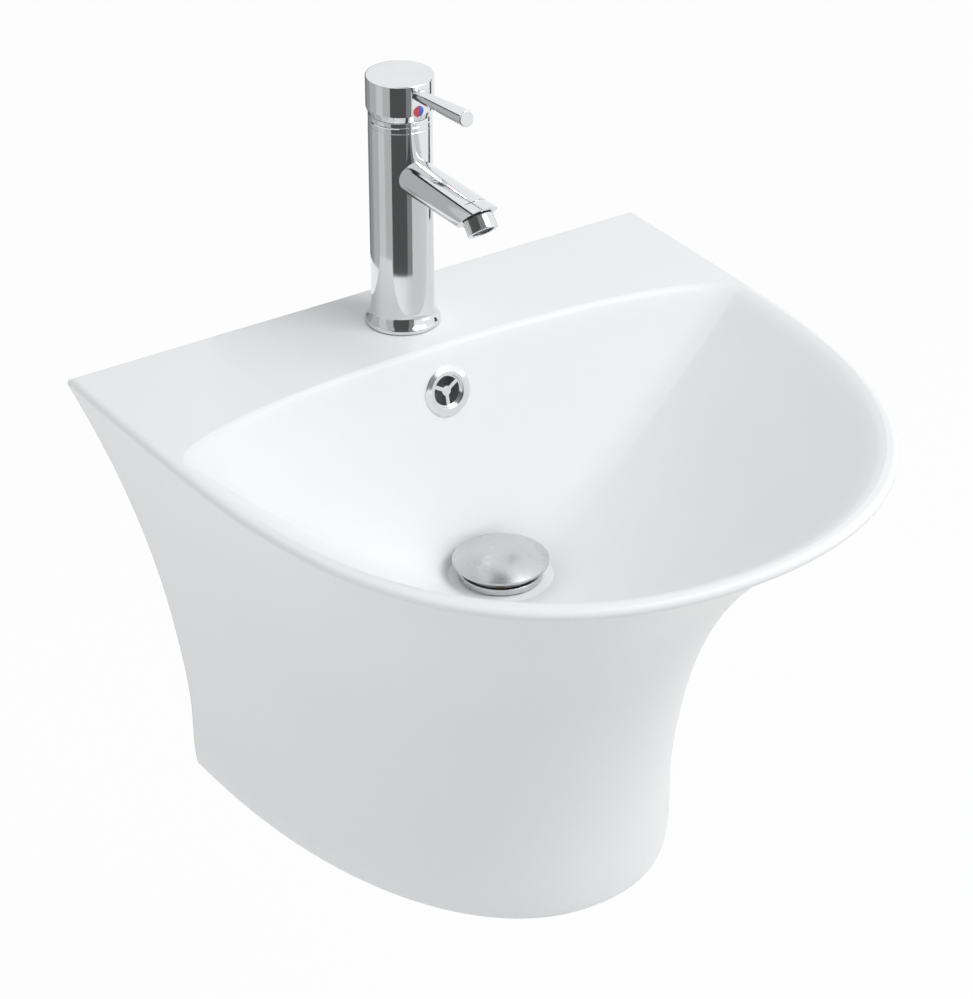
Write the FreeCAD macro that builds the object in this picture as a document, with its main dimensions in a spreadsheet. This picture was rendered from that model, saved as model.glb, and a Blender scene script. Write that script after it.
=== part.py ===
"""Wall-hung ceramic basin with a pin-lever mixer tap, a press-to-open waste and a bottle trap.

Origin: midway between the two wall-bolt holes, on the wall plane. +X to the right, +Y into the wall, +Z up.
Lengths are millimetres and angles are degrees.
"""
import FreeCAD
import Part
import Sketcher
import math
import os
from FreeCAD import Placement, Rotation, Vector

doc = FreeCAD.newDocument("basin")

SIZES = {
    # ceramic body
    "rim_width": 460, "rim_depth": 450, "body_height": 345, "foot_width": 297, "foot_depth": 297,
    "rim_side_power": 2.1, "rim_front_power": 4.3, "foot_side_power": 2.15, "foot_front_power": 2.35,
    "flare_side_power": 1.9, "flare_front_power": 2.95, "flare_corner_power": 4.5,
    "ceramic_wall": 10, "back_wall": 14, "deck_thickness": 16, "rim_round": 4, "foot_round": 5,
    "window_width": 190, "window_drop": 70, "bolt_drop": 100, "bolt_spacing": 280, "bolt_hole": 14,
    # bowl
    "lip_side": 10, "lip_front": 10, "lip_round": 4.5, "deck_depth": 99, "bowl_widest": 150,
    "bowl_depth": 143, "bowl_floor": 36, "bowl_power": 0.8, "bowl_front_power": 2.6, "bowl_back_power": 2.7,
    "bowl_corner_power": 2.6,
    # holes in the ceramic and the overflow duct behind the bowl
    "tap_back": 52, "tap_hole": 35, "waste_back": 172, "waste_hole": 46, "boss_radius": 38, "boss_depth": 48,
    "overflow_drop": 31, "overflow_hole": 26, "duct_width": 34, "duct_gap": 10, "duct_wall": 7,
    "duct_mouth": 18,
    # overflow trim
    "bezel_radius": 17.5, "bezel_height": 2.4, "bezel_sleeve": 14, "bezel_wall": 1.2, "grille_depth": 2,
    "rib_width": 2.6, "hub_radius": 3.4, "grille_inset": 1.2,
    # waste
    "flange_radius": 29, "flange_height": 4, "flange_seal": 1.2, "seat_radius": 26, "seat_depth": 2.8,
    "tail_radius": 20.8, "tail_wall": 2.8, "tail_length": 92, "slot_width": 16, "slot_height": 14,
    "slot_drop": 21, "spider_drop": 8, "spider_height": 8, "spider_hub": 9, "spider_arm": 3,
    "under_seal": 5, "slip_washer": 2, "back_nut_height": 9, "back_nut_radius": 34, "washer_radius": 33,
    "cap_radius": 33, "cap_edge": 1.6, "cap_dome": 8.6, "cap_travel": 5.7, "cap_seal_radius": 20,
    "cap_seal_width": 4.5, "cap_seal_height": 2.2, "cap_socket": 5, "sleeve_radius": 6.2, "sleeve_depth": 26,
    "sleeve_rise": 1.5, "sleeve_bore": 4.4, "sleeve_floor": 1, "sleeve_neck": 2, "sleeve_flange": 1.5,
    "plunger_radius": 2.6, "plunger_collar": 5, "plunger_collar_height": 2, "piston_height": 3,
    "piston_drop": 2.5, "spring_wire": 0.8, "spring_turns": 6,
    # bottle trap
    "socket_wall": 5, "socket_depth": 18, "socket_floor": 6, "head_radius": 31, "head_depth": 62,
    "trap_wall": 3.5, "cup_wall": 3.2, "cup_top": 48, "cup_bottom": 102, "cup_seal": 2, "cup_ledge": 3,
    "inlet_seal": 3, "inlet_nut_wall": 5, "inlet_nut_skirt": 12, "nut_lip": 3, "dip_radius": 15.6,
    "dip_wall": 1.8, "dip_length": 84, "dip_flange": 2, "outlet_drop": 25, "outlet_radius": 16,
    "outlet_wall": 2, "outlet_reach": 62, "outlet_overlap": 27, "outlet_seal": 4, "outlet_nut_skirt": 16,
    "outlet_mark": 70, "mark_width": 2, "mark_depth": 0.4,
    # tap body and spout
    "tap_radius": 21.6, "tap_base_radius": 25.5, "tap_base_edge": 3.4, "tap_flare": 13, "tap_height": 147,
    "base_seal": 0.8, "spout_height": 114, "spout_radius": 12.6, "spout_bore": 9, "spout_reach": 92,
    "spout_mitre": 42, "aerator_radius": 10.4, "aerator_height": 10, "aerator_thread": 9.2,
    "aerator_depth": 9, "aerator_wall": 1.6, "aerator_washer": 0.6, "screen_height": 2.4, "screen_inset": 1,
    "inlet_spread": 9, "inlet_offset": 4, "inlet_radius": 4.2, "inlet_thread": 4.6, "inlet_thread_depth": 15,
    "mixed_offset": 10, "mixed_radius": 4, "port_radius": 3.4,
    # cartridge
    "seat_drop": 17, "seat_radius_tap": 17.6, "nut_thread": 18.1, "nut_seat": 2, "port_seal": 0.8,
    "port_seal_width": 1.6, "housing_base": 2, "housing_top": 1.7, "housing_neck": 11, "chamber_radius": 15.5,
    "carrier_neck": 9.3, "carrier_flange": 1.8, "fixed_disc": 3.1, "moving_disc": 4.8, "moving_radius": 9.5,
    "disc_socket": 2.5, "socket_floor_disc": 1.2, "slot_half": 3.8, "slot_front": 7.3, "slot_rear": 4.5,
    "neck_rise": 1.5, "nut_rise": 2.5, "pivot_radius": 1.5, "pivot_half": 8.2, "ball_radius": 2.2,
    "ball_lift": 2.4, "stem_waist": 1.6, "stem_radius": 3.5, "stem_hub": 7, "stem_top": 20.5,
    # collar and handle
    "collar_height": 7.6, "collar_wall": 3.1, "collar_top": 3.6, "collar_groove": 0.5, "cap_gap": 0.4,
    "handle_radius": 22.9, "handle_height": 26, "handle_bevel": 4.5, "handle_bevel_in": 1.4,
    "handle_cavity": 19.8, "handle_cavity_height": 10, "handle_hub": 6, "handle_hub_rise": 4.7,
    "grub_boss_half": 4.5, "lever_lift": 20, "lift_spare": 1, "lever_height": 17, "lever_rise": 5,
    "lever_root": 4, "lever_tip": 5.8, "lever_length": 81, "lever_stub": 3, "lever_stub_depth": 14,
    "lever_recess": 0.7, "indicator_height": 7.6, "indicator_radius": 3.8, "indicator_depth": 1.5,
    "grub_radius": 2, "grub_length": 10,
    # tap fixing under the deck
    "stud_radius": 4, "stud_offset": 11, "stud_depth": 12, "stud_drop": 42, "horseshoe_radius": 24,
    "horseshoe_height": 3, "horseshoe_slot": 13, "horseshoe_slot_end": 5, "stud_nut_radius": 7.5,
    "stud_nut_height": 8,
    # fits
    "running_gap": 0.08, "thread_gap": 0.1, "loose_gap": 0.3, "edge_round": 0.8, "fine_round": 0.4,
}

sheet = doc.addObject("Spreadsheet::Sheet", "Sizes")
for row, (alias, number) in enumerate(SIZES.items(), start=1):
    sheet.set(f"A{row}", alias)
    sheet.set(f"B{row}", str(number))
    sheet.setAlias(f"B{row}", alias)
doc.recompute()


class Dim:
    """A size that knows its number and the sheet formula that gives it."""

    def __init__(self, value, text):
        self.value = value
        self.text = text

    def joined(self, other, sign, value):
        return Dim(value, f"({self.text} {sign} {other.text})")

    def __add__(self, other):
        other = dim(other)
        return self.joined(other, "+", self.value + other.value)

    def __sub__(self, other):
        other = dim(other)
        return self.joined(other, "-", self.value - other.value)

    def __mul__(self, other):
        other = dim(other)
        return self.joined(other, "*", self.value * other.value)

    def __truediv__(self, other):
        other = dim(other)
        return self.joined(other, "/", self.value / other.value)

    def __neg__(self):
        return dim(0) - self

    __radd__ = __add__
    __rmul__ = __mul__

    def __rsub__(self, other):
        return dim(other) - self


def dim(number):
    return number if isinstance(number, Dim) else Dim(float(number), repr(float(number)))


def tangent(angle):
    return Dim(math.tan(math.radians(angle.value)), f"tan({angle.text} * 1 deg)")


class Sheet:
    """Reads a named size from the sheet, as s.rim_width."""

    def __getattr__(self, alias):
        return Dim(float(getattr(sheet, alias)), f"Sizes.{alias}")


s = Sheet()
DECK = s.bolt_drop
FLOOR = s.bolt_drop - s.bowl_depth
FOOT = s.bolt_drop - s.body_height
TAP = (dim(0), -s.tap_back, DECK)
WASTE = (dim(0), -s.waste_back, FLOOR)

sub_parts = []


def sub_part(shape_object, label):
    """Name an object as one of the pieces that are written out."""
    shape_object.Label = label
    sub_parts.append(shape_object)
    return shape_object


def place(shape_object, at, tilt=None):
    """Put an object at a point, turned by tilt degrees about X."""
    shape_object.Placement = Placement(Vector(*(dim(a).value for a in at)), Rotation(Vector(1, 0, 0), 0))
    for axis, distance in zip("xyz", at):
        shape_object.setExpression(f"Placement.Base.{axis}", dim(distance).text)
    if tilt is not None:
        shape_object.Placement.Rotation = Rotation(Vector(1, 0, 0), dim(tilt).value)
        shape_object.setExpression("Placement.Rotation.Angle", dim(tilt).text)
    return shape_object


def moved(at, x=0, y=0, z=0):
    return (at[0] + x, at[1] + y, at[2] + z)


class Via:
    """A point that an arc of an outline passes through."""

    def __init__(self, a, b):
        self.point = (dim(a), dim(b))


class Dome(Via):
    """A point near an arc of an outline whose centre is on the axis, so that it turns into part of a ball."""


def pin_point(sketch, geometry, end, point):
    """Tie one end of a line or arc to a corner's two coordinates."""
    for kind, own_axis, coordinate in (("DistanceX", -2, point[0]), ("DistanceY", -1, point[1])):
        if coordinate.text in ("0.0", "-0.0"):
            sketch.addConstraint(Sketcher.Constraint("PointOnObject", geometry, end, own_axis))
            continue
        index = sketch.addConstraint(Sketcher.Constraint(kind, geometry, end, coordinate.value))
        sketch.setExpression(f"Constraints[{index}]", coordinate.text)


def draw(sketch, outline):
    """Draw a closed outline of lines and arcs through corners that follow the sheet."""
    steps = [step if isinstance(step, Via) else tuple(dim(c) for c in step[:2]) for step in outline]
    corners = [step for step in steps if not isinstance(step, Via)]
    flat = {id(c): Vector(c[0].value, c[1].value, 0) for c in corners}
    edges = []
    for index, corner in enumerate(corners):
        after = corners[(index + 1) % len(corners)]
        place_in_steps = steps.index(corner)
        follower = steps[(place_in_steps + 1) % len(steps)]
        start, stop = flat[id(corner)], flat[id(after)]
        if isinstance(follower, Via):
            middle = Vector(follower.point[0].value, follower.point[1].value, 0)
            edge = sketch.addGeometry(Part.Arc(start, middle, stop))
            forward = sketch.getPoint(edge, 1).distanceToPoint(start) < 1e-6
            edges.append((edge, 1 if forward else 2, 2 if forward else 1))
            if isinstance(follower, Dome):
                sketch.addConstraint(Sketcher.Constraint("PointOnObject", edge, 3, -2))
                continue
            through = sketch.addGeometry(Part.Point(middle), True)
            pin_point(sketch, through, 1, follower.point)
            sketch.addConstraint(Sketcher.Constraint("PointOnObject", through, 1, edge))
        else:
            edges.append((sketch.addGeometry(Part.LineSegment(start, stop)), 1, 2))
    for index, (edge, first, last) in enumerate(edges):
        after = edges[(index + 1) % len(edges)]
        sketch.addConstraint(Sketcher.Constraint("Coincident", edge, last, after[0], after[1]))
        pin_point(sketch, edge, first, corners[index])


def sketched_body(label, plane, outline):
    body = doc.addObject("PartDesign::Body", label)
    sketch = body.newObject("Sketcher::SketchObject", label + "_outline")
    origin_plane = next(f for f in body.Origin.OriginFeatures if f.Role == plane)
    sketch.AttachmentSupport = (origin_plane, [""])
    sketch.MapMode = "FlatFace"
    draw(sketch, outline)
    return body, sketch


def turned(label, outline, at, tilt=None):
    """A piece turned about Z from an outline of (radius, height) corners; a third value rounds the corner."""
    body, sketch = sketched_body(label, "XZ_Plane", outline)
    solid = body.newObject("PartDesign::Revolution", label + "_turned")
    solid.Profile = sketch
    solid.ReferenceAxis = (sketch, ["V_Axis"])
    solid.Angle = 360
    doc.recompute()
    rounded = [step for step in outline if not isinstance(step, Via) and len(step) == 3]
    for radius in {step[2].text: step[2] for step in rounded}.values():
        corners = [step for step in rounded if step[2].text == radius.text]
        soften(body, radius, corners)
    return place(body, at, tilt)


def soften(body, radius, corners):
    """Round the circular edges of a turned body that lie at the given corners."""
    base = body.Tip
    names = []
    for index, edge in enumerate(base.Shape.Edges, start=1):
        if not isinstance(edge.Curve, Part.Circle):
            continue
        for corner in corners:
            off_radius = abs(edge.Curve.Radius - dim(corner[0]).value)
            off_height = abs(edge.Curve.Center.z - dim(corner[1]).value)
            if off_radius < 1e-4 and off_height < 1e-4:
                names.append(f"Edge{index}")
    fillet = body.newObject("PartDesign::Fillet", body.Name + "_round")
    fillet.Base = (base, names)
    fillet.setExpression("Radius", radius.text)
    doc.recompute()


def padded(label, plane, outline, thickness, at, symmetric=False):
    """A plate with the given outline, padded from one of the three planes."""
    body, sketch = sketched_body(label, plane, outline)
    pad = body.newObject("PartDesign::Pad", label + "_pad")
    pad.Profile = sketch
    pad.SideType = "Symmetric" if symmetric else "One side"
    pad.setExpression("Length", dim(thickness).text)
    return place(body, at)


def cylinder(label, radius, height, at, tilt=None):
    rod = doc.addObject("Part::Cylinder", label)
    rod.setExpression("Radius", dim(radius).text)
    rod.setExpression("Height", dim(height).text)
    return place(rod, at, tilt)


def box(label, size, at):
    """A box centred in x and y on a point, standing up from it."""
    block = doc.addObject("Part::Box", label)
    for side, length in zip(("Length", "Width", "Height"), size):
        block.setExpression(side, dim(length).text)
    return place(block, (at[0] - dim(size[0]) / 2, at[1] - dim(size[1]) / 2, at[2]))


def fused(label, *pieces):
    whole = doc.addObject("Part::MultiFuse", label)
    whole.Shapes = list(pieces)
    whole.Refine = False
    return whole


def cut(label, base, *tools):
    result = doc.addObject("Part::Cut", label)
    result.Base = base
    result.Tool = tools[0] if len(tools) == 1 else fused(label + "_tools", *tools)
    result.Refine = False
    return result


def grouped(label, *pieces):
    group = doc.addObject("Part::Compound", label)
    group.Links = list(pieces)
    return group


def ring(label, inner, outer, low, high, at, tilt=None):
    return turned(label, [(inner, low), (outer, low), (outer, high), (inner, high)], at, tilt)


def fixed_shape(label, shape):
    feature = doc.addObject("Part::Feature", label)
    feature.Shape = shape
    return feature


# Ceramic body: D-shaped level sections that widen from the foot to the rim

FRONT_POINTS = 24
BOWL_POINTS = 32
OUTLINE_STEPS = 720
SKIN_LEVELS = (0, 0.15, 0.3, 0.45, 0.6, 0.72, 0.82, 0.9, 0.96, 1)
BOWL_LEVELS = (0.12, 0.28, 0.45, 0.62, 0.78, 0.9, 0.97, 1)
LIP_ANGLES = (75, 50, 25, 0)
LIP_SPARE = 1
FOOT_ANGLES = (90, 60, 30, 0)
BACK_SPARE = 20


def blend(low, high, share, power=1):
    return low + (high - low) * share ** power


def signed_power(base, power):
    return math.copysign(abs(base) ** power, base) if abs(base) > 1e-9 else 0.0


def overhang(slope):
    """How much of a rim that leans out at a slope is lost when its edge is rounded."""
    return s.rim_round.value * (math.hypot(1, slope) + slope - 1)


def skin_section(share, inset):
    """Half width, depth and curve powers of the body at a share of its height, inset along its normal."""
    share = max(share, 0)
    height = s.body_height.value
    side_run = (s.rim_width - s.foot_width).value / 2
    front_run = (s.rim_depth - s.foot_depth).value
    side_run += overhang(side_run / height * s.flare_side_power.value)
    front_run += overhang(front_run / height * s.flare_front_power.value)
    side_power, front_power = s.flare_side_power.value, s.flare_front_power.value
    corner_power = s.flare_corner_power.value
    side_slope = side_run / height * side_power * share ** (side_power - 1)
    front_slope = front_run / height * front_power * share ** (front_power - 1)
    half = s.foot_width.value / 2 + side_run * share ** side_power
    depth = s.foot_depth.value + front_run * share ** front_power
    side_curve = blend(s.foot_side_power.value, s.rim_side_power.value, share, corner_power)
    front_curve = blend(s.foot_front_power.value, s.rim_front_power.value, share, corner_power)
    return (half - inset * math.hypot(1, side_slope), depth - inset * math.hypot(1, front_slope),
            side_curve, front_curve)


def skin_wire(share, inset=0, back=0, spare=0):
    """Level section of the body: a curved front, and a straight back that may reach past the wall plane."""
    half, depth, side_curve, front_curve = skin_section(share, inset)
    start = math.asin((back / depth) ** (front_curve / 2))
    level = FOOT.value + s.body_height.value * share
    points = []
    for step in range(FRONT_POINTS + 1):
        angle = start + (math.pi - 2 * start) * step / FRONT_POINTS
        across = half * signed_power(math.cos(angle), 2 / side_curve)
        out = depth * signed_power(math.sin(angle), 2 / front_curve)
        points.append(Vector(across, -out, level))
    curve = Part.BSplineCurve()
    curve.interpolate(Points=points, Parameters=[i / FRONT_POINTS for i in range(FRONT_POINTS + 1)])
    corners = [points[-1], points[0]]
    if spare:
        behind = Vector(0, spare, 0)
        corners = [points[-1], points[-1] + behind, points[0] + behind, points[0]]
    sides = [Part.LineSegment(a, b).toShape() for a, b in zip(corners, corners[1:])]
    return Part.Wire([curve.toShape()] + sides)


def rim_half_width(back):
    """Half width of the rim's outline at a distance from the wall."""
    share = (back / s.rim_depth.value) ** s.rim_front_power.value
    return s.rim_width.value / 2 * (1 - share) ** (1 / s.rim_side_power.value)


def spaced_points(outline, count):
    """Points on a closed outline, closer together where it turns more."""
    legs = [end - start for start, end in zip(outline, outline[1:] + outline[:1])]
    length = sum(leg.Length for leg in legs)
    marks = [0]
    for leg, after in zip(legs, legs[1:] + legs[:1]):
        marks.append(marks[-1] + leg.Length / length + leg.getAngle(after) / (2 * math.pi))
    points = []
    spot = 0
    for step in range(count):
        mark = marks[-1] * step / count
        while marks[spot + 1] < mark:
            spot += 1
        points.append(outline[spot] + legs[spot] * ((mark - marks[spot]) / (marks[spot + 1] - marks[spot])))
    return points


def bowl_wire(share, grow=0, drop=0):
    """Level section of the bowl at a share of its depth, grown all round and dropped."""
    floor = s.bowl_floor.value
    rest = 1 - share
    widest = s.bowl_widest.value
    spread = rest ** s.bowl_power.value
    half = blend(floor, rim_half_width(widest) - s.lip_side.value, spread) + grow
    front = blend(floor, (s.rim_depth - s.lip_front).value - widest, spread) + grow
    bow = blend(widest - s.deck_depth.value, floor, share) + grow
    corner = blend(2, s.bowl_corner_power.value, rest)
    flatness = blend(corner, s.bowl_back_power.value, 4 * max(share, 0) * rest)
    back_edge = blend(s.deck_depth.value, s.waste_back.value - floor, share) - grow
    middle = -(back_edge + bow)
    side_curve = blend(2, s.rim_side_power.value, rest)
    front_curve = blend(2, s.bowl_front_power.value, rest)
    level = DECK.value - s.bowl_depth.value * share - drop
    outline = []
    for step in range(OUTLINE_STEPS):
        angle = math.pi / 2 + 2 * math.pi * step / OUTLINE_STEPS
        across, along = math.cos(angle), math.sin(angle)
        if along > 0:
            across = signed_power(across, 2 / side_curve)
            out = front * signed_power(along, 2 / front_curve)
        else:
            out = bow * signed_power(along, 2 / flatness)
        outline.append(Vector(half * across, middle - out, level))
    curve = Part.BSplineCurve()
    knots = [i / BOWL_POINTS for i in range(BOWL_POINTS + 1)]
    curve.interpolate(Points=spaced_points(outline, BOWL_POINTS), PeriodicFlag=True, Parameters=knots)
    return Part.Wire([curve.toShape()])


def bowl_lip_wires():
    """Sections of the rounded lip, from just above the deck down to where the bowl's own wall starts."""
    radius = s.lip_round.value
    steepest = math.radians(LIP_ANGLES[0])
    top_grow = radius * (1 - math.cos(steepest)) + LIP_SPARE * math.tan(steepest)
    wires = [bowl_wire(-LIP_SPARE / s.bowl_depth.value, top_grow)]
    for degrees in LIP_ANGLES:
        angle = math.radians(degrees)
        drop = radius * (math.sin(steepest) - math.sin(angle))
        wires.append(bowl_wire(drop / s.bowl_depth.value, radius * (1 - math.cos(angle))))
    return wires


def foot_wires():
    """Sections of the foot's rounded edge."""
    wires = []
    for degrees in FOOT_ANGLES:
        angle = math.radians(degrees)
        rise = s.foot_round.value * (1 - math.sin(angle))
        inset = s.foot_round.value * (1 - math.cos(angle))
        wires.append(skin_wire(rise / s.body_height.value, inset, 0, BACK_SPARE))
    return wires


def rounded_skin():
    """The body's outside as one solid, cut flat at the wall plane, with its rim rounded all round."""
    levels = [share for share in SKIN_LEVELS if share * s.body_height.value > 2 * s.foot_round.value]
    wires = foot_wires() + [skin_wire(share, 0, 0, BACK_SPARE) for share in levels]
    skin = Part.makeLoft(wires, True, False)
    width, height = 2 * s.rim_width.value, 2 * s.body_height.value
    behind = Part.makeBox(width, width, height, Vector(-width / 2, 0, FOOT.value - height / 4))
    skin = skin.cut(behind)
    rim = [edge for edge in skin.Edges if edge.BoundBox.ZMin > DECK.value - 1]
    return skin.makeFillet(s.rim_round.value, rim)


def back_line(drop):
    """How far the bowl's back wall stands from the wall, at a drop below the deck."""
    return s.deck_depth + (s.waste_back - s.bowl_floor - s.deck_depth) * drop / s.bowl_depth


def duct_outline(thickness):
    """Side outline of the overflow duct, grown by a wall thickness; (y, z) corners."""
    front = s.duct_wall - thickness / 4
    behind = s.duct_wall + s.duct_gap + thickness
    top_drop = s.deck_thickness - thickness
    mouth_top = FLOOR - s.deck_thickness + thickness
    mouth_low = FLOOR - s.deck_thickness - s.duct_mouth - thickness
    floor_drop = s.bowl_depth + s.deck_thickness
    return [
        (-(back_line(top_drop) - front), DECK - top_drop),
        (-(back_line(top_drop) - behind), DECK - top_drop),
        (-(back_line(floor_drop) - behind), DECK - floor_drop),
        (-(back_line(floor_drop) - behind), mouth_low),
        (-s.waste_back, mouth_low),
        (-s.waste_back, mouth_top),
        (-(back_line(floor_drop) - front), mouth_top),
    ]


def make_basin():
    skin = fixed_shape("skin", rounded_skin())
    under_deck = 1 - s.deck_thickness.value / s.body_height.value
    below_foot = -0.03
    levels = [below_foot] + [share for share in SKIN_LEVELS if share < under_deck - 0.02] + [under_deck]
    inside_wires = [skin_wire(share, s.ceramic_wall.value, s.back_wall.value) for share in levels]
    inside = fixed_shape("inside", Part.makeLoft(inside_wires, True, False))
    bowl_wires = bowl_lip_wires() + [bowl_wire(share) for share in BOWL_LEVELS]
    bowl = fixed_shape("bowl", Part.makeLoft(bowl_wires, True, False))
    wall = s.ceramic_wall.value
    block_wires = [bowl_wire(share, wall, wall) for share in (-0.04,) + BOWL_LEVELS]
    block = fixed_shape("bowl_block", Part.makeLoft(block_wires, True, False))
    # the boss and the rib start inside the bowl's wall
    boss_height = s.boss_depth - s.ceramic_wall / 2
    boss = cylinder("drain_boss", s.boss_radius, boss_height, moved(WASTE, z=-s.boss_depth))
    rib_width = s.duct_width + 2 * s.duct_wall
    rib = padded("duct_rib", "YZ_Plane", duct_outline(s.duct_wall), rib_width, (0, 0, 0), True)
    basin = cut("shell", skin, cut("hollow", inside, block))
    basin = fused("shell_with_duct", cut("shell_with_bowl", basin, bowl), boss, rib)
    duct = padded("duct_space", "YZ_Plane", duct_outline(dim(0)), s.duct_width, (0, 0, 0), True)
    drain = cylinder("drain_hole", s.waste_hole / 2, 2 * s.boss_depth, moved(WASTE, z=-1.5 * s.boss_depth))
    tap_hole = cylinder("tap_hole_cut", s.tap_hole / 2, 3 * s.deck_thickness,
                        moved(TAP, z=-2 * s.deck_thickness))
    bolts = []
    for side in (-1, 1):
        spot = (s.bolt_spacing * side / 2, s.back_wall, 0)
        bolts.append(cylinder("bolt_hole_cut", s.bolt_hole / 2, 3 * s.back_wall, spot, dim(90)))
    window_height = s.body_height - s.bolt_drop - s.window_drop
    window = box("pipe_window", (s.window_width, 4 * s.back_wall, 2 * window_height),
                 (0, 0, FOOT - window_height))
    overflow = cylinder("overflow_cut", s.overflow_hole / 2, 2 * s.duct_wall,
                        *overflow_seat(-s.duct_wall * 1.5))
    for tool in (window, tap_hole, drain, duct, overflow, *bolts):
        basin = cut("basin", basin, tool)
    sub_part(basin, "basin_body")


# Overflow trim, square to the sloping back wall of the bowl

def overflow_seat(lift=0):
    """Point on the bowl's back wall for the overflow, lifted off it, and the tilt that faces it square."""
    run = s.waste_back - s.bowl_floor - s.deck_depth
    lean = Dim(math.degrees(math.atan2(run.value, s.bowl_depth.value)),
               f"(atan2({run.text}; {s.bowl_depth.text}) / 1 deg)")
    cosine = Dim(math.cos(math.radians(lean.value)), f"cos({lean.text} * 1 deg)")
    sine = Dim(math.sin(math.radians(lean.value)), f"sin({lean.text} * 1 deg)")
    lift = dim(lift)
    spot = (dim(0), -back_line(s.overflow_drop) - cosine * lift, DECK - s.overflow_drop + sine * lift)
    return spot, dim(90) - lean


def make_overflow():
    seat, tilt = overflow_seat(s.thread_gap)
    bore = s.overflow_hole / 2 - s.loose_gap - s.bezel_wall
    outline = [
        (bore, -s.bezel_sleeve),
        (bore + s.bezel_wall, -s.bezel_sleeve),
        (bore + s.bezel_wall, 0),
        (s.bezel_radius, 0),
        (s.bezel_radius, s.bezel_height / 2, s.edge_round),
        (bore + 2 * s.bezel_wall, s.bezel_height, s.edge_round),
        (bore, s.bezel_height, s.fine_round),
    ]
    sub_part(turned("overflow_bezel", outline, seat, tilt), "overflow_bezel")
    seat, tilt = overflow_seat(s.thread_gap - s.grille_inset)
    outer = bore - s.thread_gap
    rim = ring("grille_rim", outer - s.bezel_wall, outer, -s.grille_depth, 0, (0, 0, 0))
    hub = cylinder("grille_hub", s.hub_radius, s.grille_depth, (0, 0, -s.grille_depth))
    ribs = []
    for turn in range(3):
        arm = box("grille_rib", (s.rib_width, outer - s.bezel_wall / 2, s.grille_depth),
                  (0, (outer - s.bezel_wall / 2) / 2, -s.grille_depth))
        spin = doc.addObject("Part::Compound", "grille_rib_turned")
        spin.Links = [arm]
        spin.Placement.Rotation = Rotation(Vector(0, 0, 1), 120 * turn + 180)
        ribs.append(spin)
    grille = place(fused("grille", rim, hub, *ribs), seat, tilt)
    sub_part(grille, "overflow_grille")


# Waste: heights are measured from the bowl floor

FLANGE_TOP = s.flange_seal + s.flange_height
CAP_EDGE = FLANGE_TOP + s.cap_travel + s.loose_gap
BOSS_LOW = -s.boss_depth
TAIL_BORE = s.tail_radius - s.tail_wall


def make_waste_fixed():
    clear = s.tail_radius + s.loose_gap
    sub_part(ring("flange_seal_ring", clear, s.flange_radius - 2, 0, s.flange_seal, WASTE),
             "waste_flange_seal")
    outline = [
        (TAIL_BORE, -s.tail_length),
        (s.tail_radius, -s.tail_length),
        (s.tail_radius, s.flange_seal),
        (s.flange_radius, s.flange_seal),
        (s.flange_radius, FLANGE_TOP, s.edge_round),
        (s.seat_radius, FLANGE_TOP),
        (TAIL_BORE, FLANGE_TOP - s.seat_depth),
    ]
    tube = turned("waste_tube", outline, WASTE)
    low = -s.spider_drop - s.spider_height
    hub = cylinder("spider_hub_rod", s.spider_hub, s.spider_height, moved(WASTE, z=low))
    reach = TAIL_BORE + s.tail_wall / 2
    arms = [
        box("spider_arm_x", (2 * reach, s.spider_arm, s.spider_height), moved(WASTE, z=low)),
        box("spider_arm_y", (s.spider_arm, 2 * reach, s.spider_height), moved(WASTE, z=low)),
    ]
    bore = cylinder("spider_bore", s.sleeve_radius + s.thread_gap, s.spider_height, moved(WASTE, z=low))
    slot = box("overflow_slot", (s.slot_width, 3 * s.tail_radius, s.slot_height),
               moved(WASTE, z=-s.slot_drop - s.slot_height))
    sub_part(cut("waste", fused("waste_solid", tube, hub, *arms), bore, slot), "waste_body")
    seal_low = BOSS_LOW - s.under_seal
    outline = [(clear, seal_low), (s.washer_radius, seal_low), (s.boss_radius - 3, BOSS_LOW),
               (clear, BOSS_LOW)]
    sub_part(turned("waste_under_seal", outline, WASTE), "waste_under_seal")
    washer_low = seal_low - s.slip_washer
    sub_part(ring("slip_washer_ring", clear, s.washer_radius, washer_low, seal_low, WASTE),
             "waste_slip_washer")
    nut_low = washer_low - s.back_nut_height
    sub_part(hex_nut("waste_back_nut", s.back_nut_radius, s.tail_radius + s.thread_gap, s.back_nut_height,
                     moved(WASTE, z=nut_low)), "waste_back_nut")


def hex_nut(label, radius, bore, height, at):
    blank = doc.addObject("Part::Prism", label + "_hexagon")
    blank.Polygon = 6
    blank.setExpression("Circumradius", dim(radius).text)
    blank.setExpression("Height", dim(height).text)
    place(blank, at)
    return cut(label, blank, cylinder(label + "_bore", bore, height, at))


SLEEVE_TOP = s.sleeve_rise
PISTON_TOP = SLEEVE_TOP - s.sleeve_neck - s.piston_drop
PISTON_LOW = PISTON_TOP - s.piston_height
SPRING_LOW = -s.sleeve_depth + s.sleeve_floor


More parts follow.
